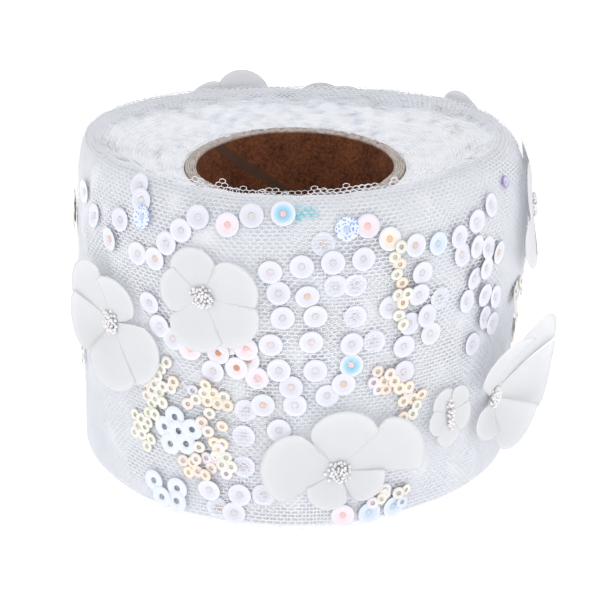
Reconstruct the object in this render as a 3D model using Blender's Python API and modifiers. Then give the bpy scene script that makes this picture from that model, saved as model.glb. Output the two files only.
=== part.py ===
"""Sequin tulle ribbon: a roll of embroidered net ribbon on a cardboard core, standing on its end.

The roll is modelled round its own axis. A turn is the angle round that axis from the front (-Y),
towards +X, and a spot on the roll is given by its turn, its height and its distance from the axis.
"""

import math

import bmesh
import bpy

# The core: a paper tube of two inch bore.
CORE_INNER_RADIUS = 0.0254
CORE_WALL = 0.0029
CORE_HEIGHT = 0.0764
CORE_EDGE_ROUND = 0.0004
CORE_SIDES = 64

# The wound ribbon. Its outer turns ride up over the core's end, most of all in front.
ROLL_RADIUS = 0.0563
# Crest sizes are in front, at the sides and behind.
ROLL_CREST_RADII = (0.0495, 0.0535, 0.0530)
ROLL_CREST_HEIGHTS = (0.0862, 0.0853, 0.0796)
ROLL_CREST_ROUND = 0.0012
ROLL_SHOULDER_DROP = 0.0190
NEAR_THE_CREST = 0.98
ROLL_FOOT_INSET = 0.0160
ROLL_FOOT_HEIGHT = 0.0774
ROLL_FOOT_CURVE = 1.5
ROLL_INNER_DROP = 0.0006
ROLL_BOTTOM_ROUND = 0.0012
ROLL_STATIONS = 72

# The turns are looser on the right, where the embroidery beneath pushes them out.
BULGE_DEPTH = 0.0042
BULGE_TURN = math.radians(84)
BULGE_SPREAD = math.radians(30)
BULGE_HEIGHT = 0.060
BULGE_RISE = 0.026

# Slow swells of the outer turns, over what lies beneath.
SWELLS = (
    # waves round the roll, slant per metre of height, start, depth
    (3, 85, 2.2, 0.0005),
    (7, 140, 0.4, 0.0003),
)

# The spiral of the main turns, which shows on top between the core and the crest.
TURN_PITCH = 0.0065
TURN_DEPTH = 0.0005
TOP_STEPS = 16

# The sewn petals reach farther on the right than on the left, so the roll's axis stands
# this far from the middle of the footprint, which is the object's origin.
AXIS_X = -0.0052
AXIS_Y = -0.0001

# Touching pieces keep this clearance.
SEAT_GAP = 0.0003

# Sewn flowers: five petals of thin stiff cloth, joined at a stitched centre.
PETAL_CLOTH = 0.0010
PETAL_SEAT = 0.0004
PETAL_HALF_SPREAD = math.radians(46)
PETAL_NOTCH = 0.50
PETAL_BLUNTNESS = 0.4
POINTS_ROUND = 36
PETAL_RINGS = (0.30, 0.62, 0.86, 1.0)
PETAL_CUP = 0.0012
NEAR_SIDE_STAND_OFF = 0.1

# Each flower: turn and height of its centre, how far its tips stand off the roll, and the side
# that stands off farthest. Directions on the cloth go from +turn (0 degrees) to up (90 degrees).
FLOWERS = (
    # name, turn deg, height, stand-off, far side deg
    ("flower_left", -53, 0.0470, 0.0040, 170),
    ("flower_upper", -23, 0.0615, 0.0012, 0),
    ("flower_lower", 11, 0.0160, 0.0022, 60),
    ("flower_right", 62, 0.0230, 0.0105, 30),
    ("flower_small", 42, 0.0255, 0.0010, 180),
    ("flower_high", 86, 0.0670, 0.0020, 200),
    ("flower_back_1", 131, 0.0680, 0.0030, 60),
    ("flower_back_2", 112, 0.0270, 0.0026, 300),
    ("flower_back_3", 170, 0.0655, 0.0024, 90),
    ("flower_back_4", 160, 0.0270, 0.0024, 200),
    ("flower_back_5", 198, 0.0680, 0.0030, 90),
    ("flower_back_6", 205, 0.0240, 0.0026, 240),
    ("flower_back_7", 246, 0.0420, 0.0020, 200),
)

# Each flower's five petals: the direction in degrees and the length of each.
PETALS = {
    "flower_left": ((132, 0.0175), (66, 0.0140), (192, 0.0160), (280, 0.0180), (330, 0.0185)),
    "flower_upper": ((108, 0.0130), (175, 0.0118), (258, 0.0150), (326, 0.0158), (23, 0.0150)),
    "flower_lower": ((84, 0.0173), (173, 0.0195), (243, 0.0108), (338, 0.0120), (15, 0.0225)),
    "flower_right": ((78, 0.0230), (36, 0.0215), (358, 0.0205), (300, 0.0155), (190, 0.0105)),
    "flower_small": ((120, 0.0080), (192, 0.0075), (264, 0.0085), (336, 0.0080), (48, 0.0080)),
    "flower_high": ((75, 0.0170), (140, 0.0160), (213, 0.0180), (285, 0.0160), (0, 0.0170)),
    "flower_back_1": ((100, 0.0155), (172, 0.0155), (244, 0.0155), (316, 0.0155), (28, 0.0155)),
    "flower_back_2": ((36, 0.0172), (108, 0.0170), (180, 0.0166), (252, 0.0172), (324, 0.0176)),
    "flower_back_3": ((66, 0.0145), (132, 0.0150), (204, 0.0150), (276, 0.0150), (348, 0.0115)),
    "flower_back_4": ((10, 0.0168), (82, 0.0166), (154, 0.0174), (226, 0.0176), (298, 0.0170)),
    "flower_back_5": ((112, 0.0160), (184, 0.0115), (256, 0.0155), (328, 0.0155), (40, 0.0155)),
    "flower_back_6": ((50, 0.0164), (122, 0.0168), (194, 0.0174), (266, 0.0176), (338, 0.0170)),
    "flower_back_7": ((30, 0.0160), (102, 0.0164), (174, 0.0172), (246, 0.0170), (318, 0.0162)),
}


def clear_scene():
    for thing in list(bpy.data.objects):
        bpy.data.objects.remove(thing, do_unlink=True)


def material(name, colour, roughness):
    made = bpy.data.materials.new(name)
    made.use_nodes = True
    shader = made.node_tree.nodes["Principled BSDF"]
    shader.inputs["Base Color"].default_value = (*colour, 1.0)
    shader.inputs["Roughness"].default_value = roughness
    shader.inputs["Metallic"].default_value = 0.0
    made.diffuse_color = (*colour, 1.0)
    return made


def turn_from(turn, middle):
    """The signed angle from middle to turn, the short way round."""
    return math.remainder(turn - middle, math.tau)


def spot(turn, radius, height):
    """The point at this turn, radius and height, about the roll's own axis."""
    return (radius * math.sin(turn), -radius * math.cos(turn), height)


def round_the_roll(sizes, turn):
    """A size that eases from its value in front to those at the sides and behind."""
    front, side, back = sizes
    mean = (front + back + 2 * side) / 4
    return mean + (front - back) / 2 * math.cos(turn) + (mean - side) * math.cos(2 * turn)


def crest_radius(turn):
    return round_the_roll(ROLL_CREST_RADII, turn)


def crest_height(turn):
    return round_the_roll(ROLL_CREST_HEIGHTS, turn)


def wall_radius(turn, height):
    """The outside of the turns below the shoulder, with its swells and its loose side."""
    swell = 0.0
    for waves, slant, start, depth in SWELLS:
        swell += depth * math.sin(waves * turn + start) * math.cos(slant * height + turn)
    across = turn_from(turn, BULGE_TURN) / BULGE_SPREAD
    up = (height - BULGE_HEIGHT) / BULGE_RISE
    return ROLL_RADIUS + swell + BULGE_DEPTH * math.exp(-across**2 - up**2)


def outer_radius(turn, height):
    """The outside of the roll at any height, with the shoulder drawn in to the crest."""
    top = crest_height(turn)
    shoulder = top - ROLL_SHOULDER_DROP
    outside = wall_radius(turn, min(height, shoulder))
    if height <= shoulder:
        return outside
    risen = min((height - shoulder) / ROLL_SHOULDER_DROP, NEAR_THE_CREST)
    crest = crest_radius(turn)
    return crest + (outside - crest) * math.sqrt(1 - risen**2)


def top_height(turn, radius):
    """The top of the turns: almost level near the core, then rising in a round slope to the crest."""
    inner = CORE_INNER_RADIUS + CORE_WALL + SEAT_GAP
    inner_top = CORE_HEIGHT - ROLL_INNER_DROP
    foot_radius = crest_radius(turn) - ROLL_FOOT_INSET
    if radius < foot_radius:
        return inner_top + (ROLL_FOOT_HEIGHT - inner_top) * (radius - inner) / (foot_radius - inner)
    lip = crest_height(turn) - ROLL_CREST_ROUND
    share = (radius - foot_radius) / (ROLL_FOOT_INSET - 2 * ROLL_CREST_ROUND)
    return ROLL_FOOT_HEIGHT + (lip - ROLL_FOOT_HEIGHT) * math.sin(math.pi / 2 * share) ** ROLL_FOOT_CURVE


def roll_section(turn):
    """Radius and height pairs round one cut through the turns, from the bore's foot to the outer foot."""
    inner = CORE_INNER_RADIUS + CORE_WALL + SEAT_GAP
    inner_top = CORE_HEIGHT - ROLL_INNER_DROP
    top = crest_height(turn)
    crest = crest_radius(turn)
    shoulder = top - ROLL_SHOULDER_DROP
    outside = wall_radius(turn, shoulder)
    lip_radius = crest - 2 * ROLL_CREST_ROUND
    points = [(inner, inner_top * step / 3) for step in range(4)]
    for step in range(1, TOP_STEPS):
        share = step / TOP_STEPS
        radius = inner + (lip_radius - inner) * share
        spiral = math.sin(math.tau * (radius - inner) / TURN_PITCH - turn) * math.sin(math.pi * share)
        points.append((radius, top_height(turn, radius) + TURN_DEPTH * spiral))
    for step in range(0, 3):
        bend = math.radians(180 - 45 * step)
        points.append(
            (
                crest - ROLL_CREST_ROUND + ROLL_CREST_ROUND * math.cos(bend),
                top - ROLL_CREST_ROUND + ROLL_CREST_ROUND * math.sin(bend),
            )
        )
    for step in range(6, -1, -1):
        bend = math.radians(12 * step)
        points.append(
            (
                crest + (outside - crest) * math.cos(bend),
                shoulder + ROLL_SHOULDER_DROP * math.sin(bend),
            )
        )
    for step in range(1, 9):
        height = shoulder + (ROLL_BOTTOM_ROUND - shoulder) * step / 8
        points.append((wall_radius(turn, height), height))
    corner = wall_radius(turn, ROLL_BOTTOM_ROUND) - ROLL_BOTTOM_ROUND
    for step in range(1, 4):
        bend = math.radians(30 * step)
        points.append(
            (
                corner + ROLL_BOTTOM_ROUND * math.cos(bend),
                ROLL_BOTTOM_ROUND - ROLL_BOTTOM_ROUND * math.sin(bend),
            )
        )
    points.append(((corner + inner) / 2, 0.0))
    return points


def finish(mesh, name, axis, shade):
    """Turns a bmesh into a named object on the roll's axis, its faces outward and shaded smooth."""
    bmesh.ops.recalc_face_normals(mesh, faces=mesh.faces)
    data = bpy.data.meshes.new(name)
    mesh.to_mesh(data)
    mesh.free()
    data.shade_smooth()
    made = bpy.data.objects.new(name, data)
    made.parent = axis
    made.data.materials.append(shade)
    return made


def core_tube(axis, shade):
    """The paper tube: half of its wall's outline turned about the axis, down its outer side first."""
    outer = CORE_INNER_RADIUS + CORE_WALL
    edge = CORE_EDGE_ROUND
    outline = (
        (outer - edge, CORE_HEIGHT),
        (outer, CORE_HEIGHT - edge),
        (outer, edge),
        (outer - edge, 0.0),
        (CORE_INNER_RADIUS + edge, 0.0),
        (CORE_INNER_RADIUS, edge),
        (CORE_INNER_RADIUS, CORE_HEIGHT - edge),
        (CORE_INNER_RADIUS + edge, CORE_HEIGHT),
    )
    mesh = bmesh.new()
    corners = [mesh.verts.new((radius, 0.0, height)) for radius, height in outline]
    for first, second in zip(corners, corners[1:] + corners[:1]):
        mesh.edges.new((first, second))
    data = bpy.data.meshes.new("core_tube")
    mesh.to_mesh(data)
    mesh.free()
    made = bpy.data.objects.new("core_tube", data)
    turned = made.modifiers.new("Turned", "SCREW")
    turned.steps = CORE_SIDES
    turned.render_steps = CORE_SIDES
    turned.use_merge_vertices = True
    turned.merge_threshold = 0.00001
    made.parent = axis
    data.materials.append(shade)
    return made


def wound_roll(axis, shade):
    """The wound turns as one body: a loft through the sections, which change shape round the roll."""
    mesh = bmesh.new()
    rings = []
    for station in range(ROLL_STATIONS):
        turn = math.tau * station / ROLL_STATIONS
        rings.append([mesh.verts.new(spot(turn, *point)) for point in roll_section(turn)])
    for ring, following in zip(rings, rings[1:] + rings[:1]):
        for here in range(len(ring)):
            ahead = (here + 1) % len(ring)
            mesh.faces.new((ring[here], following[here], following[ahead], ring[ahead]))
    return finish(mesh, "wound_roll", axis, shade)


def flower_edge(around, petals):
    """How far the flower's edge lies in this direction, and how near that is to a petal's middle."""
    reach = 0.0
    nearest = 0.0
    for direction, length in petals:
        off = turn_from(around, math.radians(direction)) / PETAL_HALF_SPREAD
        lobe = math.cos(math.pi / 2 * min(abs(off), 1.0)) ** PETAL_BLUNTNESS
        if length * (PETAL_NOTCH + (1 - PETAL_NOTCH) * lobe) > reach:
            reach = length * (PETAL_NOTCH + (1 - PETAL_NOTCH) * lobe)
            nearest = lobe
    return reach, nearest


def flower(axis, shade, name, turn, height, stand_off, far_side):
    """One sewn flower, wrapped on the roll at its centre and standing off it at its tips."""
    turn = math.radians(turn)
    far_side = math.radians(far_side)

    def place(around, share):
        reach, lobe = flower_edge(around, PETALS[name])
        along = reach * share * math.cos(around)
        up = reach * share * math.sin(around)
        lean = 0.5 + 0.5 * math.cos(around - far_side)
        lean = NEAR_SIDE_STAND_OFF + (1 - NEAR_SIDE_STAND_OFF) * lean
        here = turn + along / (ROLL_RADIUS + stand_off * lean)
        lifted = stand_off * lean * share**1.7 + PETAL_CUP * lobe * share
        return spot(here, outer_radius(here, height + up) + PETAL_SEAT + lifted, height + up)

    mesh = bmesh.new()
    centre = mesh.verts.new(spot(turn, outer_radius(turn, height) + PETAL_SEAT, height))
    rings = []
    for share in PETAL_RINGS:
        ring = []
        for step in range(POINTS_ROUND):
            ring.append(mesh.verts.new(place(math.tau * step / POINTS_ROUND, share)))
        rings.append(ring)
    for step in range(POINTS_ROUND):
        ahead = (step + 1) % POINTS_ROUND
        mesh.faces.new((centre, rings[0][step], rings[0][ahead]))
        for ring, wider in zip(rings, rings[1:]):
            mesh.faces.new((ring[step], wider[step], wider[ahead], ring[ahead]))
    made = finish(mesh, name, axis, shade)
    cloth = made.modifiers.new("Cloth", "SOLIDIFY")
    cloth.thickness = PETAL_CLOTH
    cloth.offset = 1.0
    return made


def build():
    clear_scene()
    cardboard = material("cardboard", (0.42, 0.28, 0.18), 0.85)
    net = material("sequin_net", (0.86, 0.87, 0.90), 0.55)
    organza = material("petal_cloth", (0.90, 0.90, 0.91), 0.60)
    axis = bpy.data.objects.new("roll_axis", None)
    axis.location = (AXIS_X, AXIS_Y, 0.0)
    parts = bpy.data.collections.new("sequin_tulle_ribbon")
    bpy.context.scene.collection.children.link(parts)
    parts.objects.link(axis)
    parts.objects.link(core_tube(axis, cardboard))
    parts.objects.link(wound_roll(axis, net))
    for row in FLOWERS:
        parts.objects.link(flower(axis, organza, *row))


build()
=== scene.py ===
"""Sequin tulle ribbon roll: the looks of the wound net, its sequins and its sewn flowers.

The file is laid out as an add-on and run as a script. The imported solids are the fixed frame.
A turn is the angle round the roll's axis from the front (-Y) towards +X. A climb is the way up the
cloth from the foot of the roll, along the wall and over the shoulder. All sizes are in metres.
"""

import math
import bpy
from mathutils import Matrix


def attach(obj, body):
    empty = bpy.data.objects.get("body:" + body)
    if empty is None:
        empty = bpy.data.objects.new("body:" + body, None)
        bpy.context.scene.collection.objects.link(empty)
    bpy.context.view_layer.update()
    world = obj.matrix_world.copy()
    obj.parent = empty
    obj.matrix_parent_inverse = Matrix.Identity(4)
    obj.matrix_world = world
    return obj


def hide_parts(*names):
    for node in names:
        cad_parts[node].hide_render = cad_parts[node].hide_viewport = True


bl_info = {
    "name": "Sequin Tulle Ribbon Roll",
    "version": (1, 0, 0),
    "blender": (4, 5, 0),
    "location": "View3D > Sidebar > Ribbon Roll",
    "description": "Dresses the packed ribbon roll with net, sequins, petals, beads and its core",
    "category": "Add Mesh",
}

import bpy
import numpy as np
from bpy.props import FloatProperty, FloatVectorProperty, IntProperty, PointerProperty

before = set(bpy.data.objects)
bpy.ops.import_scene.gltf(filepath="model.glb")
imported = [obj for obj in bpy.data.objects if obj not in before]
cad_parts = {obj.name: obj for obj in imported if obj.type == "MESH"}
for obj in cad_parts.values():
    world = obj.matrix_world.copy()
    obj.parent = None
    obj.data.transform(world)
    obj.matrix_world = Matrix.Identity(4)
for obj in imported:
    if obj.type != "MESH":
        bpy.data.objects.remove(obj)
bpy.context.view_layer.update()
BODY = "root"
MM = 0.001
TAU = math.tau

# The roll's own form, as its solids have it. Triples are in front, at the sides and behind.
CORE_INNER_RADIUS = 0.0254
CORE_WALL = 0.0029
CORE_HEIGHT = 0.0764
ROLL_RADIUS = 0.0563
CREST_RADII = (0.0495, 0.0535, 0.0530)
CREST_HEIGHTS = (0.0862, 0.0853, 0.0796)
CREST_ROUND = 0.0012
SHOULDER_DROP = 0.0190
NEAR_THE_CREST = 0.98
FOOT_INSET = 0.0160
FOOT_HEIGHT = 0.0774
FOOT_CURVE = 1.5
INNER_DROP = 0.0006
BOTTOM_ROUND = 0.0012
BULGE_DEPTH = 0.0042
BULGE_TURN = math.radians(84)
BULGE_SPREAD = math.radians(30)
BULGE_HEIGHT = 0.060
BULGE_RISE = 0.026
SWELLS = ((3, 85, 2.2, 0.0005), (7, 140, 0.4, 0.0003))
AXIS_X = -0.0052
AXIS_Y = -0.0001
SEAT_GAP = 0.0003
CLOTH_WIDTH = 0.0895
FRONT_HALF = math.radians(40)
LAID_GAP = 0.0002

# A petal's half width, its lap on the next, and its grid.
PETAL_HALF = math.radians(46)
PETAL_LAP = math.radians(2)
PETAL_ROWS = 16
PETAL_COLUMNS = 19

# Rows of points in the sections of the core and of the wound turns.
CORE_OUTSIDE_ROWS = 14
CORE_END_ROWS = 9
CORE_INSIDE_ROWS = 60
WALL_ROWS = 92
BORE_ROWS = 8
UNDER_ROWS = 7

# The core's spiral seam: its rise in one turn, and how far up it starts in front.
SEAM_PITCH = 0.1271
SEAM_START = 0.0067

# Larger sequins below this height, in mm, are sewn again behind, at this share of it.
BACK_BELOW = 72
BACK_SHARE = 0.95

# Sewn flowers, placed as their solids are. Directions on the cloth go from +turn (0) to up (90).
FLOWERS = (
    # name, turn deg, height, stand-off, far side deg
    ("flower_left", -53, 0.0470, 0.0040, 170),
    ("flower_upper", -23, 0.0615, 0.0012, 0),
    ("flower_lower", 11, 0.0160, 0.0022, 60),
    ("flower_right", 62, 0.0230, 0.0105, 30),
    ("flower_small", 42, 0.0255, 0.0010, 180),
    ("flower_high", 86, 0.0670, 0.0020, 200),
    ("flower_back_1", 131, 0.0680, 0.0030, 60),
    ("flower_back_2", 112, 0.0270, 0.0026, 300),
    ("flower_back_3", 170, 0.0655, 0.0024, 90),
    ("flower_back_4", 160, 0.0270, 0.0024, 200),
    ("flower_back_5", 198, 0.0680, 0.0030, 90),
    ("flower_back_6", 205, 0.0240, 0.0026, 240),
    ("flower_back_7", 246, 0.0420, 0.0020, 200),
)
PETALS = {
    # direction deg and length of each petal, as its solid has them except for flower_right
    "flower_left": ((132, 0.0175), (66, 0.0140), (192, 0.0160), (280, 0.0180), (330, 0.0185)),
    "flower_upper": ((108, 0.0130), (175, 0.0118), (258, 0.0150), (326, 0.0158), (23, 0.0150)),
    "flower_lower": ((84, 0.0173), (173, 0.0195), (243, 0.0108), (338, 0.0120), (15, 0.0225)),
    "flower_right": ((108, 0.0190), (58, 0.0235), (8, 0.0215), (300, 0.0165), (222, 0.0120)),
    "flower_small": ((120, 0.0080), (192, 0.0075), (264, 0.0085), (336, 0.0080), (48, 0.0080)),
    "flower_high": ((75, 0.0170), (140, 0.0160), (213, 0.0180), (285, 0.0160), (0, 0.0170)),
    "flower_back_1": ((100, 0.0155), (172, 0.0155), (244, 0.0155), (316, 0.0155), (28, 0.0155)),
    "flower_back_2": ((36, 0.0172), (108, 0.0170), (180, 0.0166), (252, 0.0172), (324, 0.0176)),
    "flower_back_3": ((66, 0.0145), (132, 0.0150), (204, 0.0150), (276, 0.0150), (348, 0.0115)),
    "flower_back_4": ((10, 0.0168), (82, 0.0166), (154, 0.0174), (226, 0.0176), (298, 0.0170)),
    "flower_back_5": ((112, 0.0160), (184, 0.0115), (256, 0.0155), (328, 0.0155), (40, 0.0155)),
    "flower_back_6": ((50, 0.0164), (122, 0.0168), (194, 0.0174), (266, 0.0176), (338, 0.0170)),
    "flower_back_7": ((30, 0.0160), (102, 0.0164), (174, 0.0172), (246, 0.0170), (318, 0.0162)),
}

# The larger sequins as chains that follow the stitching, charted from places that were read off
# the photograph. The lower ones are sewn again half a turn on, round the back.
DISC_CHAINS = (
    # look, how many, bends of the chain as (turn deg, height mm)
    ("pearl", 2, ((-45, 84.6), (-43, 81.6))),
    ("flecked", 1, ((-42, 77.8),)),
    ("pearl", 3, ((-70, 76.0), (-54, 68.8))),
    ("pearl", 1, ((-50, 75.0),)),
    ("pearl", 5, ((-43, 68.2), (-37, 68.4), (-33, 74.0), (-25, 81.0))),
    ("rose", 1, ((-17, 80.2),)),
    ("pearl", 1, ((-11, 82.6),)),
    ("azure", 1, ((-3, 83.2),)),
    ("pearl", 4, ((-6, 69.6), (5, 71.6), (17, 71.8))),
    ("hidden", 2, ((7, 76.2), (10, 65.4))),
    ("pearl", 2, ((-4, 64.2), (3, 63.2))),
    ("flecked", 1, ((13, 79.4),)),
    ("rose", 1, ((18.5, 79.6),)),
    ("amber", 1, ((24, 75.9),)),
    ("pearl", 1, ((31, 73.2),)),
    ("cool", 1, ((38, 72.1),)),
    ("pearl", 3, ((45, 72.1), (58, 76.6))),
    ("pearl", 4, ((46, 67.2), (53, 67.9), (61, 63.2))),
    ("pearl", 3, ((55.5, 60.8), (51, 59.3), (48, 54.2))),
    ("pearl", 2, ((55, 53.6), (60, 51.4))),
    ("pearl", 3, ((58.5, 44.7), (55, 47.6), (50.5, 41.8))),
    ("pearl", 3, ((33, 65.7), (32, 60.2), (24, 58.3))),
    ("pearl", 3, ((29.5, 53.0), (34.5, 54.0), (36, 48.8))),
    ("pearl", 2, ((28, 47.2), (28, 40.4))),
    ("hidden", 2, ((39, 57.4), (15, 65.1))),
    ("pearl", 2, ((-3, 57.7), (5, 57.9))),
    ("hidden", 2, ((15, 56.9), (20, 49.8))),
    ("pearl", 3, ((-6, 50.2), (4, 51.2), (14, 50.1))),
    ("azure", 1, ((14, 44.4),)),
    ("pearl", 4, ((5, 43.6), (12, 39.6), (8, 36.6), (-1, 39.1))),
    ("pearl", 1, ((-4, 43.6),)),
    ("rose", 3, ((-9.5, 41.0), (-12.2, 48.6), (-27.0, 46.6))),
    ("ember", 2, ((-11.8, 45.6), (-14.8, 43.2))),
    ("ember", 2, ((-19.5, 46.7), (-17.0, 49.4))),
    ("pearl", 1, ((-21, 41.6),)),
    ("pearl", 3, ((-32, 48.4), (-36, 50.8), (-39, 56.3))),
    ("pearl", 2, ((-8, 34.0), (0, 34.2))),
    ("hidden", 3, ((-12.5, 32.0), (-13, 25.1), (-13, 16.8))),
    ("pearl", 1, ((-4, 27.4),)),
    ("pearl", 3, ((-22, 9.2), (-14, 9.0), (-15.5, 3.8))),
    ("hidden", 3, ((-20, 4.2), (-8, 9.4), (7, 7.6))),
    ("rose", 1, ((12, 3.6),)),
    ("cool", 2, ((19, 3.3), (26, 3.5))),
)

# Flat discs sewn close, as small flowers.
DISC_FLOWERS = (
    # turn deg and height mm of each disc
    ((-31.6, 27.3), (-34.8, 23.8), (-30.4, 23.8), (-26.4, 25.2), (-33.0, 19.6), (-28.2, 20.8)),
    ((-38.2, 8.0), (-35.6, 4.2), (-31.0, 7.8), (-31.2, 4.2)),
)

# Fields of the small ring sequins, each an oval that a staggered grid fills.
RING_FIELDS = (
    # looks, turn deg, height mm, half width mm, half height mm, tilt deg
    (("cream", "cream", "apricot"), -37, 37.5, 6.0, 4.6, 0),
    (("cream", "lemon"), -38, 29.5, 5.2, 3.4, 30),
    (("cream", "pearl", "apricot"), -21, 34.2, 6.0, 3.2, -14),
    (("cream", "apricot", "peach"), -29.5, 31.6, 3.4, 2.0, -12),
    (("lemon", "cream"), -43, 20.5, 3.6, 4.8, 0),
    (("apricot", "cream", "peach"), -21.5, 24.5, 4.4, 5.8, 0),
    (("apricot", "peach", "rose"), -25.0, 15.6, 6.4, 2.8, 12),
    (("rose", "peach", "cream"), -17.5, 17.5, 2.6, 5.0, 10),
    (("apricot", "lemon", "cream"), 25.2, 70.0, 1.9, 4.6, -8),
    (("apricot", "cream"), 27.6, 62.6, 2.0, 3.6, 0),
    (("cream", "lemon"), 26.2, 54.6, 1.6, 2.4, 0),
    (("rose", "apricot", "cool", "peach"), 24.5, 38.4, 5.2, 3.8, -12),
    (("apricot", "rose", "cream"), 29.5, 31.6, 4.4, 4.0, 0),
    (("peach", "rose", "lemon"), 20.5, 8.2, 3.6, 3.0, 20),
    (("lemon", "cream", "cool"), 27.0, 6.4, 3.4, 2.6, 0),
    (("pearl", "cream"), 73.0, 47.0, 3.4, 4.6, 0),
    (("apricot", "lemon", "peach"), 84.0, 34.0, 4.6, 5.4, 0),
    (("cream", "pearl"), -82.0, 30.0, 4.6, 5.4, 0),
    (("peach", "cream", "rose"), -88.0, 64.0, 4.0, 5.0, 0),
)

# Ring sequins that stand alone.
RING_SINGLES = (
    # look, turn deg, height mm
    ("violet", 66, 80.0),
    ("rose", 71, 49.0),
)

# Painted shade: places where the gaps between layers of net show the shade within, painted dark into the
# wound net's holes.
GAP_SHADE_SPOTS = (
    # turn deg, height mm, half width mm, half height mm, how dark
    (-5, 61.0, 5, 8, 0.9),
    (9, 53.5, 6, 6, 1.0),
    (24, 63.0, 7, 8, 0.6),
    (33, 57.0, 6, 7, 0.8),
    (37, 45.0, 5, 7, 0.9),
    (-13, 40.0, 7, 9, 0.7),
    (-6, 21.0, 7, 12, 0.6),
    (-14, 5.0, 13, 5, 0.5),
    (3, 3.0, 13, 4, 0.45),
    (-3, 73.5, 9, 3, 0.4),
    (47, 62.0, 5, 8, 0.6),
    (60, 58.0, 4, 9, 0.5),
    (-43, 60.0, 3.5, 5, 1.0),
    (43, 42.0, 3, 5, 0.9),
    (50, 62.0, 1.6, 3, 1.0),
)

# Painted shade: dark marks on top, the shade in the gaps between the turns' edges.
TOP_GAP_SHADE = (
    # turn deg, radius mm, half length mm, half width mm, how dark
    (-84, 47.5, 7.0, 2.2, 1.0),
    (-72, 45.5, 4.0, 1.4, 0.9),
    (-101, 36.0, 5.0, 1.0, 0.8),
    (146, 43.6, 5.0, 0.9, 0.9),
    (110, 44.5, 5.0, 1.6, 0.9),
    (120, 47.5, 3.0, 1.2, 1.0),
    (88, 45.0, 3.5, 1.2, 0.7),
)

# Colours of the thin film that sequins are cut from, and of the thread that shows in their holes. A recess
# darker than its rim is painted shade in the sequin's cup; the coloured recesses of rose, ember, amber and
# azure are the sequins' own colours.
FILM_LOOKS = {
    # rim, recess (a darker recess is partly painted shade), stitch, flecks of blue
    "pearl": ((0.795, 0.805, 0.89), (0.725, 0.73, 0.825), (0.62, 0.58, 0.60), 0.0),
    "cool": ((0.74, 0.80, 0.93), (0.62, 0.72, 0.88), (0.60, 0.68, 0.74), 0.0),
    "frost": ((0.78, 0.82, 0.92), (0.75, 0.80, 0.92), (0.66, 0.66, 0.69), 0.0),
    "hidden": ((0.80, 0.81, 0.90), (0.73, 0.74, 0.84), (0.66, 0.66, 0.69), 0.0),
    "rose": ((0.82, 0.81, 0.91), (0.92, 0.77, 0.81), (0.90, 0.58, 0.56), 0.0),
    "ember": ((0.82, 0.82, 0.91), (0.82, 0.77, 0.80), (0.66, 0.30, 0.18), 0.0),
    "amber": ((0.82, 0.81, 0.90), (0.97, 0.83, 0.69), (0.86, 0.56, 0.38), 0.0),
    "azure": ((0.80, 0.84, 0.95), (0.28, 0.62, 0.84), (0.90, 0.62, 0.64), 0.0),
    "flecked": ((0.80, 0.84, 0.95), (0.76, 0.85, 0.95), (0.56, 0.66, 0.85), 1.0),
    "violet": ((0.36, 0.26, 0.66), (0.88, 0.86, 0.95), (0.84, 0.82, 0.92), 0.0),
    "cream": ((0.88, 0.86, 0.78), (0.83, 0.81, 0.75), (0.60, 0.60, 0.70), 0.0),
    "lemon": ((0.87, 0.87, 0.76), (0.80, 0.81, 0.74), (0.62, 0.64, 0.66), 0.0),
    "peach": ((0.93, 0.82, 0.76), (0.90, 0.77, 0.72), (0.62, 0.58, 0.66), 0.0),
    "apricot": ((0.96, 0.82, 0.68), (0.94, 0.78, 0.66), (0.62, 0.58, 0.66), 0.0),
}
HOLE_GLINTS = (
    (0.70, 0.69, 0.70),
    (0.66, 0.67, 0.72),
    (0.78, 0.68, 0.68),
    (0.80, 0.58, 0.47),
    (0.74, 0.74, 0.78),
    (0.68, 0.68, 0.68),
)
BEAD_WHITES = (
    (0.92, 0.92, 0.94, 1),
    (0.80, 0.79, 0.81, 1),
    (0.90, 0.84, 0.84, 1),
    (0.95, 0.95, 0.97, 1),
)


# Sizes and colours that a user may change.


class NetSettings(bpy.types.PropertyGroup):
    """The ribbon's net and how its layers lie."""

    cells_round: IntProperty(name="Cells round", description="Cells of net round the roll", default=196)
    row_rise: FloatProperty(
        name="Row rise", description="Height of one row of cells", default=0.00095, unit="LENGTH"
    )
    thread_width: FloatProperty(
        name="Thread width", description="Width of the net's thread", default=0.00018, unit="LENGTH"
    )
    outer_lift: FloatProperty(
        name="Outer lift", description="Outer net above the solid's face", default=0.00015, unit="LENGTH"
    )
    inner_lift: FloatProperty(
        name="Inner lift", description="Second net below the solid's face", default=-0.0002, unit="LENGTH"
    )
    body_lift: FloatProperty(
        name="Body lift", description="Wound turns below the solid's face", default=-0.0005, unit="LENGTH"
    )
    edge_pitch: FloatProperty(
        name="Edge pitch", description="Way between turns of edge on top", default=0.0008, unit="LENGTH"
    )
    colour: FloatVectorProperty(
        name="Net colour", description="Colour of the net", default=(0.81, 0.825, 0.865), subtype="COLOR"
    )


class SequinSettings(bpy.types.PropertyGroup):
    """Sizes of the sequins."""

    disc_radius: FloatProperty(
        name="Disc radius", description="Radius of the larger sequins", default=0.0030, unit="LENGTH"
    )
    disc_hole: FloatProperty(
        name="Disc hole", description="Radius of the hole in a larger sequin", default=0.00082, unit="LENGTH"
    )
    ring_radius: FloatProperty(
        name="Ring radius", description="Radius of the small ring sequins", default=0.00166, unit="LENGTH"
    )
    ring_hole: FloatProperty(
        name="Ring hole", description="Radius of the hole in a ring sequin", default=0.00056, unit="LENGTH"
    )
    ring_pitch: FloatProperty(
        name="Ring pitch", description="Way between ring sequins", default=0.00262, unit="LENGTH"
    )
    lift: FloatProperty(
        name="Lift", description="Height of the lowest sequins above the net", default=0.00035, unit="LENGTH"
    )


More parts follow.
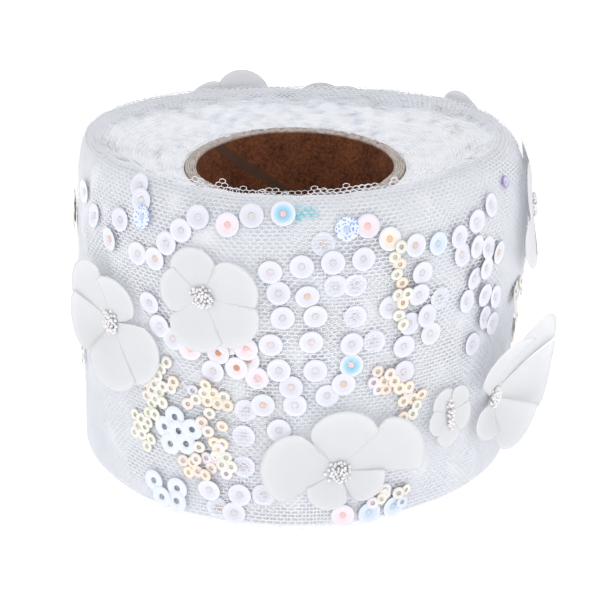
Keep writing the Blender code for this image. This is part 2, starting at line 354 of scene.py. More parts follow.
class PetalSettings(bpy.types.PropertyGroup):
    """The sewn cloth petals and their beads."""

    seat: FloatProperty(
        name="Seat", description="Height of the petals above the roll's face", default=0.00085, unit="LENGTH"
    )
    cloth: FloatProperty(name="Cloth", description="Thickness of petal cloth", default=0.00008, unit="LENGTH")
    crumple: FloatProperty(
        name="Crumple", description="How far the petals' edges wave", default=0.00012, unit="LENGTH"
    )
    bead_radius: FloatProperty(
        name="Bead radius", description="Radius of the centre's beads", default=0.00046, unit="LENGTH"
    )
    colour: FloatVectorProperty(
        name="Petal colour", description="Colour of the petals", default=(0.715, 0.725, 0.75), subtype="COLOR"
    )


class CoreSettings(bpy.types.PropertyGroup):
    """The paper tube."""

    seam_width: FloatProperty(
        name="Seam width", description="Width of the spiral seam", default=0.0032, unit="LENGTH"
    )
    kraft: FloatVectorProperty(
        name="Kraft", description="Colour of the paper inside", default=(0.185, 0.064, 0.027), subtype="COLOR"
    )
    cut_end: FloatVectorProperty(
        name="Cut end", description="Colour of the cut plies", default=(0.56, 0.50, 0.47), subtype="COLOR"
    )


class StageSettings(bpy.types.PropertyGroup):
    """Camera, light and floor."""

    distance: FloatProperty(name="Distance", description="Camera to roll", default=0.700, unit="LENGTH")
    elevation: FloatProperty(
        name="Elevation", description="Camera above level", default=math.radians(23.17), unit="ROTATION"
    )
    lens: FloatProperty(name="Lens", description="Focal length in millimetres", default=159.4)
    sky: FloatProperty(name="Sky", description="Strength of the even white surround", default=0.95)
    key: FloatProperty(name="Key", description="Power of the large soft lamp, in watts", default=0.20)


class RibbonRollSettings(bpy.types.PropertyGroup):
    """All settings of the roll."""

    net: PointerProperty(type=NetSettings)
    sequins: PointerProperty(type=SequinSettings)
    petals: PointerProperty(type=PetalSettings)
    core: PointerProperty(type=CoreSettings)
    stage: PointerProperty(type=StageSettings)


# The form of the roll.


def turn_from(turn, middle):
    """The signed angle from middle to turn, the short way round."""
    return np.remainder(turn - middle + math.pi, TAU) - math.pi


def round_the_roll(sizes, turn):
    """A size that eases from its value in front to those at the sides and behind."""
    front, side, back = sizes
    mean = (front + back + 2 * side) / 4
    return mean + (front - back) / 2 * np.cos(turn) + (mean - side) * np.cos(2 * turn)


def wall_radius(turn, height):
    """The roll's radius plus slow swells (sine round the roll times cosine up it) and a bell-shaped bulge."""
    swell = sum(
        depth * np.sin(waves * turn + start) * np.cos(slant * height + turn)
        for waves, slant, start, depth in SWELLS
    )
    across = turn_from(turn, BULGE_TURN) / BULGE_SPREAD
    up = (height - BULGE_HEIGHT) / BULGE_RISE
    return ROLL_RADIUS + swell + BULGE_DEPTH * np.exp(-(across**2) - up**2)


def outer_radius(turn, height):
    """The wall's radius, drawn in above the shoulder along a quarter ellipse to the crest."""
    top = round_the_roll(CREST_HEIGHTS, turn)
    crest = round_the_roll(CREST_RADII, turn)
    shoulder = top - SHOULDER_DROP
    outside = wall_radius(turn, np.minimum(height, shoulder))
    risen = np.clip((height - shoulder) / SHOULDER_DROP, 0.0, NEAR_THE_CREST)
    return np.where(height <= shoulder, outside, crest + (outside - crest) * np.sqrt(1 - risen**2))


def ellipse_run(bend, depth):
    """Length of the shoulder up to this bend: the speed round the ellipse, summed by Gauss's rule."""
    nodes, weights = np.polynomial.legendre.leggauss(8)
    at = bend[..., None] * (nodes + 1) / 2
    speed = np.hypot(depth[..., None] * np.sin(at), SHOULDER_DROP * np.cos(at))
    return bend / 2 * (speed * weights).sum(-1)


def shoulder_facts(turn):
    """The shoulder: height of its foot, radius of its crest, depth from wall to crest, and length."""
    shoulder = round_the_roll(CREST_HEIGHTS, turn) - SHOULDER_DROP
    crest = round_the_roll(CREST_RADII, turn)
    depth = wall_radius(turn, shoulder) - crest
    return shoulder, crest, depth, ellipse_run(np.full_like(depth, math.pi / 2), depth)


def climb_at(turn, height):
    """The climb that reaches a height: the height itself on the wall, and the ellipse's length above it."""
    shoulder, _, depth, _ = shoulder_facts(turn)
    sine = np.clip((height - shoulder) / SHOULDER_DROP, 0.0, 0.999)
    return np.where(height <= shoulder, height, shoulder + ellipse_run(np.arcsin(sine), depth))


def top_level(turn, radius):
    """Height of the turns' top: a slight slope from the core, a power of a sine to the lip, a round."""
    inner = CORE_INNER_RADIUS + CORE_WALL + SEAT_GAP
    inner_top = CORE_HEIGHT - INNER_DROP
    crest = round_the_roll(CREST_RADII, turn)
    lip = round_the_roll(CREST_HEIGHTS, turn) - CREST_ROUND
    foot = crest - FOOT_INSET
    near = np.clip((radius - inner) / (foot - inner), 0, 1)
    slope = np.clip((radius - foot) / (FOOT_INSET - 2 * CREST_ROUND), 0, 1)
    over = np.clip((crest - CREST_ROUND - radius) / CREST_ROUND, 0, 1)
    height = inner_top + (FOOT_HEIGHT - inner_top) * near
    height = height + (lip - FOOT_HEIGHT) * np.sin(math.pi / 2 * slope) ** FOOT_CURVE
    return height + CREST_ROUND * np.sqrt(1 - over**2)


def skin(turn, climb, lift=0.0):
    """The point on the cloth and the way it faces, as radius and height in the cut through the axis.

    Below the shoulder the point climbs the wall. On the shoulder its bend is found by Newton's steps
    from the length of the ellipse. Past the crest it goes straight on: up and inwards in front, and
    laid on the slope of the top elsewhere. Lift moves it along the outward normal.
    """
    turn, climb = np.broadcast_arrays(np.asarray(turn, float), np.asarray(climb, float))
    shoulder, crest, depth, length = shoulder_facts(turn)
    run = np.clip(climb - shoulder, 0.0, length)
    bend = run / length * math.pi / 2
    for _ in range(6):
        speed = np.hypot(depth * np.sin(bend), SHOULDER_DROP * np.cos(bend))
        bend = np.clip(bend - (ellipse_run(bend, depth) - run) / speed, 0.0, math.pi / 2)
    beyond = np.maximum(climb - shoulder - length, 0.0)
    low = climb <= shoulder
    radius = np.where(low, wall_radius(turn, climb), crest + depth * np.cos(bend))
    height = np.where(low, climb, shoulder + SHOULDER_DROP * np.sin(bend))
    out = np.where(low, 1.0, SHOULDER_DROP * np.cos(bend))
    up = np.where(low, 0.0, depth * np.sin(bend))
    size = np.hypot(out, up)
    out, up = out / size, up / size
    aside = np.clip((np.abs(turn_from(turn, 0.0)) - FRONT_HALF) / FRONT_HALF * 2.5, 0, 1)
    lean = math.radians(38) + math.radians(62) * aside * aside * (3 - 2 * aside)
    radius = radius - beyond * np.sin(lean)
    height = height + beyond * np.cos(lean)
    height = np.where(beyond > 0, np.maximum(height, top_level(turn, radius) + LAID_GAP), height)
    return radius + lift * out, height + lift * up, out, up


def about_axis(radius, turn, height):
    """Points from their radius, turn and height about the roll's own axis."""
    return np.stack(
        [AXIS_X + radius * np.sin(turn), AXIS_Y - radius * np.cos(turn), height + 0 * turn], -1
    )


def cloth_frame(turn, climb, lift):
    """Where a sewn thing sits: its point, the ways round and up the cloth, and its outward normal."""
    radius, height, out, up = skin(turn, climb, lift)
    point = about_axis(radius, turn, height)
    round_way = np.stack([np.cos(turn), np.sin(turn), 0 * turn], -1)
    normal = np.stack([out * np.sin(turn), -out * np.cos(turn), up], -1)
    return point, round_way, np.cross(normal, round_way), normal


def ripples(turn, along, waves, lengths, seed, count=14):
    """Uneven swells about 1 high: sines, each with whole waves round the roll and a drawn length along."""
    draw = np.random.default_rng(seed)
    total = 0.0
    for _ in range(count):
        wave = draw.integers(waves[0], waves[1] + 1)
        length = draw.uniform(*lengths) * draw.choice((-1, 1))
        total = total + np.sin(wave * turn + TAU * along / length + draw.uniform(0, TAU))
    return total / math.sqrt(count / 2)


# Meshes.


def tube_grid(rings, stations):
    """Quads of a grid that closes on itself both ways, and each corner's unwrapped ring and station."""
    row, col = np.meshgrid(np.arange(rings), np.arange(stations), indexing="ij")
    rows = np.stack([row, row, row + 1, row + 1], -1).reshape(-1, 4)
    cols = np.stack([col, col + 1, col + 1, col], -1).reshape(-1, 4)
    return (rows % rings) * stations + cols % stations, rows, cols


def patch_grid(rows, columns):
    """Quads of an open grid of rows by columns."""
    row, col = np.meshgrid(np.arange(rows - 1), np.arange(columns - 1), indexing="ij")
    first = (row * columns + col).reshape(-1)
    return np.stack([first, first + 1, first + columns + 1, first + columns], -1)


def repeated(quads, size, copies):
    """The same faces again for each copy of a shape with size points."""
    return (quads[None] + (np.arange(copies) * size)[:, None, None]).reshape(-1, quads.shape[1])


def publish(name, points, faces, finish, uv=None, values=None, colours=None):
    """Makes the piece from whole arrays, rides it on the frame's body and gives it its finish."""
    mesh = bpy.data.meshes.new(name)
    parts = faces if isinstance(faces, tuple) else (faces,)
    corners = [corner for part in parts for corner in part.tolist()]
    mesh.from_pydata(points.reshape(-1, 3).tolist(), [], corners)
    if uv is not None:
        mesh.uv_layers.new(name="cloth").data.foreach_set("uv", uv.reshape(-1).astype(np.float32))
    for key, value in (values or {}).items():
        mesh.attributes.new(key, "FLOAT", "POINT").data.foreach_set(
            "value", value.reshape(-1).astype(np.float32)
        )
    for key, value in (colours or {}).items():
        mesh.attributes.new(key, "FLOAT_COLOR", "POINT").data.foreach_set(
            "color", value.reshape(-1).astype(np.float32)
        )
    mesh.validate()
    mesh.shade_smooth()
    mesh.materials.append(finish)
    made = bpy.data.objects.new(name, mesh)
    bpy.context.scene.collection.objects.link(made)
    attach(made, BODY)
    return made


# Finishes.


def add(tree, kind, inputs=None, **settings):
    """A node with its settings, its inputs given as values or as the sockets that feed them."""
    made = tree.nodes.new(kind)
    for key, value in settings.items():
        setattr(made, key, value)
    for key, value in (inputs or {}).items():
        if isinstance(value, bpy.types.NodeSocket):
            tree.links.new(value, made.inputs[key])
        else:
            made.inputs[key].default_value = value
    return made


def sum_of(tree, operation, first, second, clamp=False):
    """One Math node on two values or sockets."""
    return add(
        tree, "ShaderNodeMath", {0: first, 1: second}, operation=operation, use_clamp=clamp
    ).outputs[0]


def blend(tree, share, first, second):
    """Mixes two colours by a share."""
    made = add(tree, "ShaderNodeMix", {0: share}, data_type="RGBA", clamp_factor=True)
    for key, value in ((6, first), (7, second)):
        if isinstance(value, bpy.types.NodeSocket):
            tree.links.new(value, made.inputs[key])
        else:
            made.inputs[key].default_value = (*value, 1.0)
    return made.outputs[2]


def new_group(name, inputs, outputs):
    """An empty shader node group with named sockets."""
    group = bpy.data.node_groups.new(name, "ShaderNodeTree")
    for key, kind, value in inputs:
        socket = group.interface.new_socket(name=key, in_out="INPUT", socket_type=kind)
        if value is not None:
            socket.default_value = value
    for key, kind in outputs:
        group.interface.new_socket(name=key, in_out="OUTPUT", socket_type=kind)
    return group, add(group, "NodeGroupInput").outputs, add(group, "NodeGroupOutput").inputs


def mottle_group():
    """Uneven tone of cloth or paper: a broad noise and a fine one that shift a value round 1."""
    found = bpy.data.node_groups.get("uneven_tone")
    if found:
        return found
    group, given, result = new_group(
        "uneven_tone",
        (
            ("Vector", "NodeSocketVector", None),
            ("Broad Scale", "NodeSocketFloat", 120.0),
            ("Fine Scale", "NodeSocketFloat", 1500.0),
            ("Broad Amount", "NodeSocketFloat", 0.1),
            ("Fine Amount", "NodeSocketFloat", 0.1),
            ("Colour", "NodeSocketColor", (0.8, 0.8, 0.8, 1.0)),
        ),
        (("Colour", "NodeSocketColor"), ("Height", "NodeSocketFloat")),
    )
    parts = []
    for scale, amount, detail in (("Broad Scale", "Broad Amount", 2.0), ("Fine Scale", "Fine Amount", 3.0)):
        noise = add(
            group, "ShaderNodeTexNoise", {"Vector": given["Vector"], "Scale": given[scale], "Detail": detail}
        )
        centred = sum_of(group, "SUBTRACT", noise.outputs["Fac"], 0.5)
        parts.append(sum_of(group, "MULTIPLY", centred, given[amount]))
        height = noise.outputs["Fac"]
    tone = sum_of(group, "ADD", sum_of(group, "ADD", parts[0], parts[1]), 1.0)
    shaded = add(group, "ShaderNodeVectorMath", {0: given["Colour"]}, operation="SCALE")
    group.links.new(tone, shaded.inputs["Scale"])
    group.links.new(shaded.outputs[0], result["Colour"])
    group.links.new(height, result["Height"])
    return group


def net_rows_group():
    """The holes of one net beneath, on cloth coordinates in cells and rows: 1 in a hole, 0 on thread."""
    found = bpy.data.node_groups.get("net_rows")
    if found:
        return found
    group, given, result = new_group(
        "net_rows",
        (
            ("Vector", "NodeSocketVector", None),
            ("Shift", "NodeSocketVector", None),
            ("Angle", "NodeSocketFloat", 0.0),
            ("Thread", "NodeSocketFloat", 0.16),
        ),
        (("Holes", "NodeSocketFloat"),),
    )
    turned = add(
        group,
        "ShaderNodeVectorRotate",
        {"Vector": given["Vector"], "Angle": given["Angle"]},
        rotation_type="Z_AXIS",
    )
    moved = add(
        group, "ShaderNodeVectorMath", {0: turned.outputs[0], 1: given["Shift"]}, operation="ADD"
    )
    wave = add(group, "ShaderNodeTexNoise", {"Vector": moved.outputs[0], "Scale": 0.35, "Detail": 1.0})
    bent = add(group, "ShaderNodeVectorMath", {0: wave.outputs["Color"]}, operation="SCALE")
    bent.inputs["Scale"].default_value = 0.5
    place = add(group, "ShaderNodeVectorMath", {0: moved.outputs[0], 1: bent.outputs[0]}, operation="ADD")
    cells = add(
        group,
        "ShaderNodeTexBrick",
        {
            "Vector": place.outputs[0],
            "Color1": (1, 1, 1, 1),
            "Color2": (1, 1, 1, 1),
            "Mortar": (0, 0, 0, 1),
            "Scale": 1.0,
            "Mortar Size": given["Thread"],
            "Mortar Smooth": 0.4,
            "Brick Width": 1.0,
            "Row Height": 1.0,
        },
    )
    holes = sum_of(group, "SUBTRACT", 1.0, cells.outputs["Fac"])
    group.links.new(holes, result["Holes"])
    return group


def mottled(tree, where, scales, amounts, colour):
    """The colour made uneven at a broad and a fine scale, by these amounts, and the noise's height."""
    inputs = {"Vector": where, "Broad Scale": scales[0], "Fine Scale": scales[1]}
    inputs.update({"Broad Amount": amounts[0], "Fine Amount": amounts[1], "Colour": colour})
    return add(tree, "ShaderNodeGroup", inputs, node_tree=mottle_group()).outputs


def ramp(tree, value, start, end, first=1.0, last=0.0):
    """Goes evenly from first to last as the value goes from start to end, and stays there."""
    inputs = {"Value": value, "From Min": start, "From Max": end, "To Min": first, "To Max": last}
    return add(tree, "ShaderNodeMapRange", inputs, clamp=True).outputs[0]


def new_finish(name, **uniform):
    """A material, its tree and its shader, with the values that are the same all over the surface."""
    made = bpy.data.materials.new(name)
    made.use_nodes = True
    tree = made.node_tree
    shader = tree.nodes["Principled BSDF"]
    for key, value in uniform.items():
        shader.inputs[key.replace("_", " ")].default_value = value
    return made, tree, shader


def give_bump(tree, shader, height, strength, distance):
    """Feeds a height into the shader's normal."""
    bump = add(
        tree, "ShaderNodeBump", {"Height": height, "Strength": strength, "Distance": distance}
    )
    tree.links.new(bump.outputs[0], shader.inputs["Normal"])


def object_place(tree):
    """Object coordinates, which are metres in the row's frame."""
    return add(tree, "ShaderNodeTexCoord").outputs["Object"]


def cloth_place(tree):
    """The piece's own cloth coordinates."""
    return add(tree, "ShaderNodeUVMap", uv_map="cloth").outputs[0]


def attribute(tree, name, output="Fac"):
    """One of the piece's own attributes."""
    return add(tree, "ShaderNodeAttribute", attribute_name=name).outputs[output]


def cardboard_finish(settings):
    """Kraft paper with a mottled face, a spiral seam and grey plies at the cut ends.

    Cloth coordinates here are turns round the tube and metres up it. The seam is where the height,
    less its rise for the turn, comes back to the same place: one seam for each pitch.
    """
    made, tree, shader = new_finish("kraft_tube", Roughness=0.85, Specular_IOR_Level=0.25)
    where = object_place(tree)
    paper = mottled(tree, where, (170.0, 1300.0), (1.3, 2.4), (*settings.kraft, 1.0))
    split = add(tree, "ShaderNodeSeparateXYZ", {0: cloth_place(tree)})
    rise = sum_of(tree, "MULTIPLY", split.outputs[0], -SEAM_PITCH)
    above = sum_of(tree, "ADD", split.outputs[1], rise)
    along = sum_of(tree, "ADD", above, SEAM_START + SEAM_PITCH * 4.5)
    within = sum_of(tree, "FRACT", sum_of(tree, "DIVIDE", along, SEAM_PITCH), 0.0)
    off = sum_of(tree, "ABSOLUTE", sum_of(tree, "SUBTRACT", within, 0.5), 0.0)
    width = settings.seam_width / SEAM_PITCH
    edge = ramp(tree, off, width * 0.42, width * 0.62)
    seam = sum_of(tree, "MULTIPLY", edge, 0.75)
    seamed = blend(tree, seam, paper["Colour"], (0.100, 0.066, 0.046))
    rings = add(
        tree,
        "ShaderNodeTexNoise",
        {"Vector": where, "Scale": 900.0, "Detail": 4.0, "Roughness": 0.7},
    )
    ply = sum_of(tree, "SINE", sum_of(tree, "MULTIPLY", attribute(tree, "ply"), 26.0), 0.0)
    uneven = sum_of(
        tree, "ADD", sum_of(tree, "MULTIPLY", ply, 0.16), sum_of(tree, "MULTIPLY", rings.outputs["Fac"], 1.25)
    )
    dark = ramp(tree, uneven, 0.42, 0.62, 0.0, 1.0)
    cut = blend(tree, dark, (0.30, 0.25, 0.22), tuple(settings.cut_end))
    colour = blend(tree, attribute(tree, "cut"), seamed, cut)
    tree.links.new(colour, shader.inputs["Base Color"])
    give_bump(tree, shader, rings.outputs["Fac"], 0.35, 0.0003)
    return made


def wound_net_finish(colour):
    """Many layers of net seen as one: rows of holes with painted shade where the layers part, a top painted
    in a paler colour, and streaks of painted shade on top.
    """
    made, tree, shader = new_finish("wound_net", Roughness=0.8, Specular_IOR_Level=0.2)
    cloth = cloth_place(tree)
    layers = []
    for shift, angle, thread in (((0.3, 0.2, 0.0), 0.012, 0.13), ((3.7, 5.45, 0.0), -0.02, 0.15)):
        inputs = {"Vector": cloth, "Shift": shift, "Angle": angle, "Thread": thread}
        net = add(tree, "ShaderNodeGroup", inputs, node_tree=net_rows_group())
        layers.append(net.outputs["Holes"])
    holes = sum_of(tree, "MULTIPLY", layers[0], layers[1])
    where = object_place(tree)
    patch = add(tree, "ShaderNodeTexNoise", {"Vector": where, "Scale": 190.0, "Detail": 3.0})
    # Painted shade: the holes go dark at the listed gaps and in patches of noise.
    gap_shade = sum_of(
        tree, "ADD", attribute(tree, "gap_shade"), sum_of(tree, "SUBTRACT", patch.outputs["Fac"], 0.64), clamp=True
    )
    dark = sum_of(tree, "MULTIPLY", holes, gap_shade, clamp=True)
    tone = mottled(tree, where, (75.0, 900.0), (0.06, 0.08), (*colour, 1.0))
    drawn_out = add(
        tree, "ShaderNodeVectorMath", {0: cloth, 1: (0.22, 1.5, 1.0)}, operation="MULTIPLY"
    ).outputs[0]
    fibres = add(
        tree, "ShaderNodeTexNoise", {"Vector": drawn_out, "Scale": 1.0, "Detail": 4.0, "Roughness": 0.65}
    ).outputs["Fac"]
    # Painted shade: dark streaks along the top, stronger at the listed marks, stand for the shade between the
    # turns' edges.
    deep = ramp(tree, fibres, 0.38, 0.62)
    top_shade_weight = sum_of(tree, "ADD", sum_of(tree, "MULTIPLY", attribute(tree, "top_shade"), 0.8), 0.16)
    shade_streak_share = sum_of(tree, "MULTIPLY", deep, top_shade_weight)
    painted_streak = sum_of(tree, "MULTIPLY", shade_streak_share, attribute(tree, "top"), clamp=True)
    # Painted shade: the dark grey painted into those holes.
    shaded = blend(tree, dark, tone["Colour"], (0.54, 0.52, 0.51))
    # Painted light: the top of the turns is coloured paler than the wall.
    lighter = blend(tree, attribute(tree, "top"), shaded, (0.93, 0.945, 0.985))
    with_painted_streaks = blend(tree, painted_streak, lighter, (0.46, 0.45, 0.46))
    tree.links.new(with_painted_streaks, shader.inputs["Base Color"])
    give_bump(tree, shader, sum_of(tree, "SUBTRACT", 1.0, holes), 0.3, 0.0002)
    return made


def thread_finish(colour):
    """Nylon thread, a little uneven, with turquoise glints in places: painted reflections of the colours that
    a film beneath throws on it.
    """
    made, tree, shader = new_finish("net_thread", Roughness=0.45, Specular_IOR_Level=0.4)
    tone = mottled(tree, object_place(tree), (60.0, 2200.0), (0.10, 0.16), (*colour, 1.0))
    lit = blend(tree, attribute(tree, "glint"), tone["Colour"], (0.16, 0.62, 0.70))
    tree.links.new(lit, shader.inputs["Base Color"])
    return made


def film_finish(name, roughness):
    """Pearly film in each sequin's own colour with painted shade in its recess, paler and cooler in patches,
    with blue flecks on a few.
    """
    made, tree, shader = new_finish(
        name, Roughness=roughness, Specular_IOR_Level=0.55, Coat_Weight=0.25, Coat_Roughness=0.18
    )
    where = object_place(tree)
    tone = mottled(tree, where, (320.0, 1900.0), (0.10, 0.05), attribute(tree, "film", "Color"))
    dots = add(tree, "ShaderNodeTexVoronoi", {"Vector": where, "Scale": 1500.0, "Randomness": 1.0})
    near = ramp(tree, dots.outputs["Distance"], 0.28, 0.42)
    flecks = sum_of(tree, "MULTIPLY", near, attribute(tree, "fleck"))
    colour = blend(tree, flecks, tone["Colour"], (0.20, 0.34, 0.90))
    tree.links.new(colour, shader.inputs["Base Color"])
    give_bump(tree, shader, tone["Height"], 0.12, 0.0002)
    return made


def petal_finish(colour):
    """Sheer matt cloth that lets much light through, cloudy and woven, with a brighter outer edge."""
    made, tree, shader = new_finish(
        "petal_organza", Roughness=0.8, Specular_IOR_Level=0.18, Sheen_Weight=0.1
    )
    path = add(tree, "ShaderNodeLightPath")
    passing = sum_of(tree, "ADD", path.outputs["Is Shadow Ray"], path.outputs["Is Diffuse Ray"], clamp=True)
    held_back = sum_of(tree, "SUBTRACT", 0.84, sum_of(tree, "MULTIPLY", passing, 0.48))
    tree.links.new(held_back, shader.inputs["Alpha"])
    where = object_place(tree)
    tone = mottled(tree, where, (90.0, 1600.0), (0.05, 0.05), (*colour, 1.0))
    bright = blend(tree, attribute(tree, "rim"), tone["Colour"], (0.79, 0.80, 0.825))
    tree.links.new(bright, shader.inputs["Base Color"])
    split = add(tree, "ShaderNodeSeparateXYZ", {0: cloth_place(tree)})
    threads = [
        sum_of(tree, "SINE", sum_of(tree, "MULTIPLY", split.outputs[axis], TAU / 0.32), 0.0)
        for axis in (0, 1)
    ]
    give_bump(tree, shader, sum_of(tree, "ADD", threads[0], threads[1]), 0.10, 0.0001)
    return made


def bead_finish(name, roughness):
    """Small beads or stitches, each in its own colour, a little uneven."""
    made, tree, shader = new_finish(name, Roughness=roughness, Specular_IOR_Level=0.5)
    own = attribute(tree, "film", "Color")
    tone = mottled(tree, object_place(tree), (700.0, 2500.0), (0.18, 0.05), own)
    tree.links.new(tone["Colour"], shader.inputs["Base Color"])
    return made


# Operators, one for each piece or group of like pieces.


class RIBBON_OT_core_tube(bpy.types.Operator):
    """Makes the paper tube: its section of layered plies carried round the axis"""

    bl_idname = "ribbon_roll.core_tube"
    bl_label = "Core tube"

    def execute(self, context):
        settings = context.scene.ribbon_roll.core
        stations = 288
        turn = np.arange(stations) * TAU / stations
        inner, outer = CORE_INNER_RADIUS, CORE_INNER_RADIUS + CORE_WALL
        # One cut through the wall, up the outside, over the cut end and down the inside.
        before, end, within = CORE_OUTSIDE_ROWS, CORE_END_ROWS, CORE_INSIDE_ROWS
        ends = np.linspace(0.0, 1.0, end)
        outside = np.linspace(0.0004, CORE_HEIGHT - 0.0005, before)
        inside = np.linspace(CORE_HEIGHT - 0.0008, 0.0008, within - 2)
        inside = np.concatenate([[CORE_HEIGHT - 0.0004], inside, [0.0004]])
        radius = np.concatenate(
            [
                np.full(before, outer),
                outer - 0.0002 - (CORE_WALL - 0.0004) * ends,
                np.full(within, inner),
                inner + 0.0002 + (CORE_WALL - 0.0004) * ends,
            ]
        )
        height = np.concatenate([outside, np.full(end, CORE_HEIGHT), inside, np.zeros(end)])
        ply = np.concatenate([np.zeros(before), ends, np.zeros(within), 1 - ends])
        top = np.concatenate([np.zeros(before), np.ones(end), np.zeros(within + end)])
        cut = np.concatenate([np.zeros(before), np.ones(end), np.zeros(within), np.ones(end)])
        cut[[before - 1, before + end]] = 0.55
        turns = np.broadcast_to(turn, (len(radius), stations))
        plies = np.broadcast_to(ply[:, None], turns.shape)
        worn = ripples(turns, plies * 0.02, (9, 70), (0.004, 0.02), 11, 20)
        heights = height[:, None] + top[:, None] * (0.00012 * worn - 0.0002 * np.abs(worn))
        bent = 0.00010 * ripples(turns, height[:, None], (2, 9), (0.05, 0.2), 12)
        points = about_axis(radius[:, None] + bent, turns, heights)
        faces, rows, cols = tube_grid(len(radius), stations)
        uv = np.stack([cols / stations, height[rows % len(radius)]], -1)
        made = publish(
            "core_paper",
            points,
            faces,
            cardboard_finish(settings),
            uv=uv,
            values={"ply": plies, "cut": np.broadcast_to(cut[:, None], turns.shape)},
        )
        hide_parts("core_tube")
        return {"FINISHED"}


class RIBBON_OT_wound_turns(bpy.types.Operator):
    """Makes the body of wound turns: one section, changing round the roll, closed on itself"""

    bl_idname = "ribbon_roll.wound_turns"
    bl_label = "Wound turns"

    def execute(self, context):
        net = context.scene.ribbon_roll.net
        stations = 360
        turn = np.arange(stations) * TAU / stations
        shoulder, crest, depth, length = shoulder_facts(turn)
        whole = shoulder + length
        # Up the wall and over the shoulder.
        rise = np.linspace(0.0, 1.0, WALL_ROWS)[:, None]
        climb = BOTTOM_ROUND + (whole - 0.0004 - BOTTOM_ROUND) * rise
        uneven = ripples(turn, climb, (5, 34), (0.012, 0.05), 21, 24)
        dent = 0.00016 * uneven * np.clip(climb / 0.004, 0, 1)
        wall_r, wall_h, _, _ = skin(turn, climb, net.body_lift + dent)
        # Over the crest, down the slope and in to the bore.
        share = np.concatenate([[0.0, 0.012, 0.026, 0.04], np.linspace(0.06, 1.0, 72)])[:, None]
        inner = CORE_INNER_RADIUS + CORE_WALL + SEAT_GAP
        dish_r = crest - CREST_ROUND + (inner - crest + CREST_ROUND) * share
        dish_h = top_level(turn, dish_r)
        fine = ripples(turn, dish_r, (2, 24), (0.0014, 0.0050), 22, 26)
        broad = ripples(turn, dish_r, (2, 9), (0.006, 0.02), 23, 10)
        settle = np.sin(share * math.pi) ** 0.5
        sunk = 0.3 + 0.7 * np.clip(1 - share / 0.25, 0, 1)
        dish_h = dish_h + settle * (0.00005 * fine + 0.00006 * broad) + net.body_lift * sunk
        # Down the bore and out beneath, to the foot of the wall.
        bore, beneath = (BORE_ROWS, stations), (UNDER_ROWS, stations)
        bore_h = np.linspace(CORE_HEIGHT - INNER_DROP - 0.003, 0.0008, BORE_ROWS)[:, None]
        foot_r = wall_r[:1] - BOTTOM_ROUND
        under = np.linspace(0.0, 1.0, UNDER_ROWS)[:, None]
        under_r = inner + 0.0006 + (foot_r - inner - 0.0006) * under
        radius = np.concatenate([wall_r, dish_r, np.full(bore, inner), under_r])
        height = np.concatenate([wall_h, dish_h, np.broadcast_to(bore_h, bore), np.zeros(beneath)])
        over = whole + (crest - dish_r) * 1.1
        run = np.concatenate([climb, over, np.full(bore, 0.12), np.full(beneath, 0.13)])
        # Painted shade: the holes are painted dark at each listed gap, in front and again half a turn on.
        gap_shade = np.zeros_like(run)
        for where, high, wide, tall, amount in GAP_SHADE_SPOTS:
            for side in (0.0, math.pi):
                across = turn_from(turn, math.radians(where) + side) * ROLL_RADIUS / (wide * MM)
                up = (run - high * MM) / (tall * MM)
                gap_shade += amount * np.exp(-(across**2) - up**2)
        # The share of the top, where the colour is painted paler and the streaks of painted shade lie.
        top = np.zeros_like(run)
        top[WALL_ROWS : WALL_ROWS + len(share)] = np.clip(share * 14, 0, 1)
        # Painted shade: the dark marks between the turns' edges on top.
        top_shade = np.zeros_like(run)
        for where, out, long, wide, amount in TOP_GAP_SHADE:
            across = turn_from(turn, math.radians(where)) * out / long
            inwards = (radius - out * MM) / (wide * MM)
            top_shade += amount * np.exp(-(across**2) - inwards**2)
        # Less painted shade in the holes on the top.
        gap_shade -= 0.6 * top
        faces, rows, cols = tube_grid(len(radius), stations)
        wrapped = rows % len(radius)
        uv = np.stack(
            [cols / stations * net.cells_round, run[wrapped, cols % stations] / net.row_rise], -1
        )
        made = publish(
            "wound_turns",
            about_axis(radius, np.broadcast_to(turn, radius.shape), height),
            faces,
            wound_net_finish(net.colour),
            uv=uv,
            values={"gap_shade": np.clip(gap_shade, -1, 1), "top": top, "top_shade": np.clip(top_shade, 0, 1)},
        )
        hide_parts("wound_roll")
        return {"FINISHED"}


